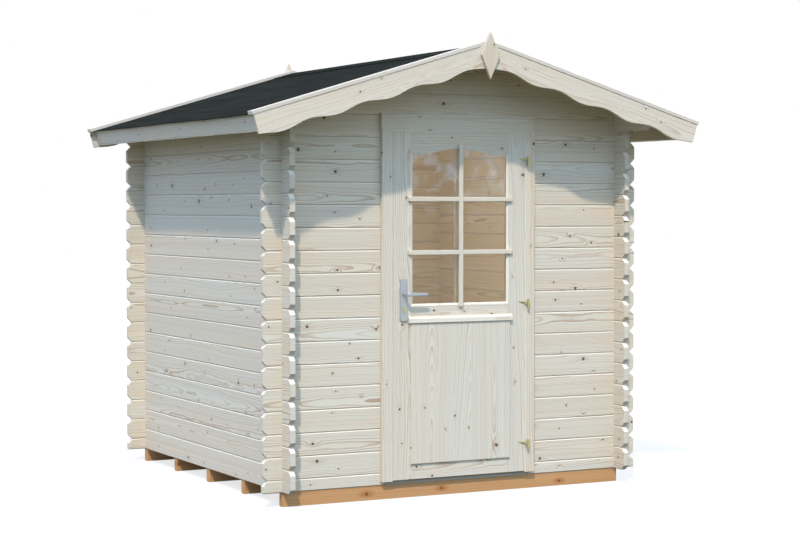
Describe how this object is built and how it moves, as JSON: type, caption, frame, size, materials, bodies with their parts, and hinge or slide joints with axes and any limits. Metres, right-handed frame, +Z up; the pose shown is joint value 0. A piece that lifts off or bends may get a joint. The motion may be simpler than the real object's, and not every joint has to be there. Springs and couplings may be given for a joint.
{
  "type": "log garden house",
  "caption": "Small log-built garden house with a felted gable roof, wavy bargeboards and a half-glazed hinged door with a lever handle.",
  "frame": {"origin": "centre of the wall footprint on the ground, under the middle bearer", "axes": "+X to the right seen from the door side, +Y from the door to the back, +Z up"},
  "size_m": [2.5922, 2.478, 2.3725],
  "materials": {
    "spruce": "planed, untreated",
    "joinery_spruce": "planed, untreated",
    "board_spruce": "planed, untreated",
    "treated_pine": "sawn, brown preservative",
    "roofing_felt": "mineral-surfaced bitumen felt",
    "window_glass": "clear float glass",
    "yellow_zinc": "yellow passivated zinc",
    "satin_silver": "satin anodised",
    "brass": "satin"
  },
  "bodies": {
    "house": {"bearers": "treated_pine", "floor_boards": "board_spruce", "left_wall": "spruce", "right_wall": "spruce", "left_top_log": "spruce", "right_top_log": "spruce", "back_wall": "spruce", "back_gable": "spruce", "front_wall_left": "spruce", "front_wall_right": "spruce", "front_gable": "spruce", "ridge_purlin": "spruce", "roof_boards_left": "board_spruce", "roof_boards_right": "board_spruce", "felt_left": "roofing_felt", "felt_right": "roofing_felt", "fascia_left": "board_spruce", "fascia_right": "board_spruce", "front_bargeboard_left": "board_spruce", "front_bargeboard_right": "board_spruce", "back_bargeboard_left": "board_spruce", "back_bargeboard_right": "board_spruce", "front_verge_left": "board_spruce", "front_verge_right": "board_spruce", "back_verge_left": "board_spruce", "back_verge_right": "board_spruce", "front_diamond": "board_spruce", "back_diamond": "board_spruce", "door_jamb_left": "joinery_spruce", "door_jamb_right": "joinery_spruce", "door_head": "joinery_spruce", "door_sill": "joinery_spruce", "frame_hinges": "yellow_zinc"},
    "door": {"stile_left": "joinery_spruce", "stile_right": "joinery_spruce", "top_rail": "joinery_spruce", "lock_rail": "joinery_spruce", "bottom_rail": "joinery_spruce", "door_panel": "joinery_spruce", "door_glass": "window_glass", "glazing_beads": "joinery_spruce", "outer_bars": "joinery_spruce", "inner_bars": "joinery_spruce", "drip_moulding": "joinery_spruce", "door_hinges": "yellow_zinc", "handle_plates": "satin_silver", "lock_cylinder": "brass"},
    "handle": {"door_handle": "satin_silver"}
  },
  "joints": [
    {"name": "door_hinge", "type": "hinge", "parent": "house", "child": "door", "pos_m": [0.405, -1.04, 0.9785], "axis": [0, 0, 1], "range_deg": [0, 150]},
    {"name": "handle_turn", "type": "hinge", "parent": "door", "child": "handle", "pos_m": [-0.3321, -1.005, 1.0485], "axis": [0, 1, 0], "range_deg": [0, 45], "stiffness_Nm_per_rad": 0.8, "springref_deg": -28.65}
  ]
}
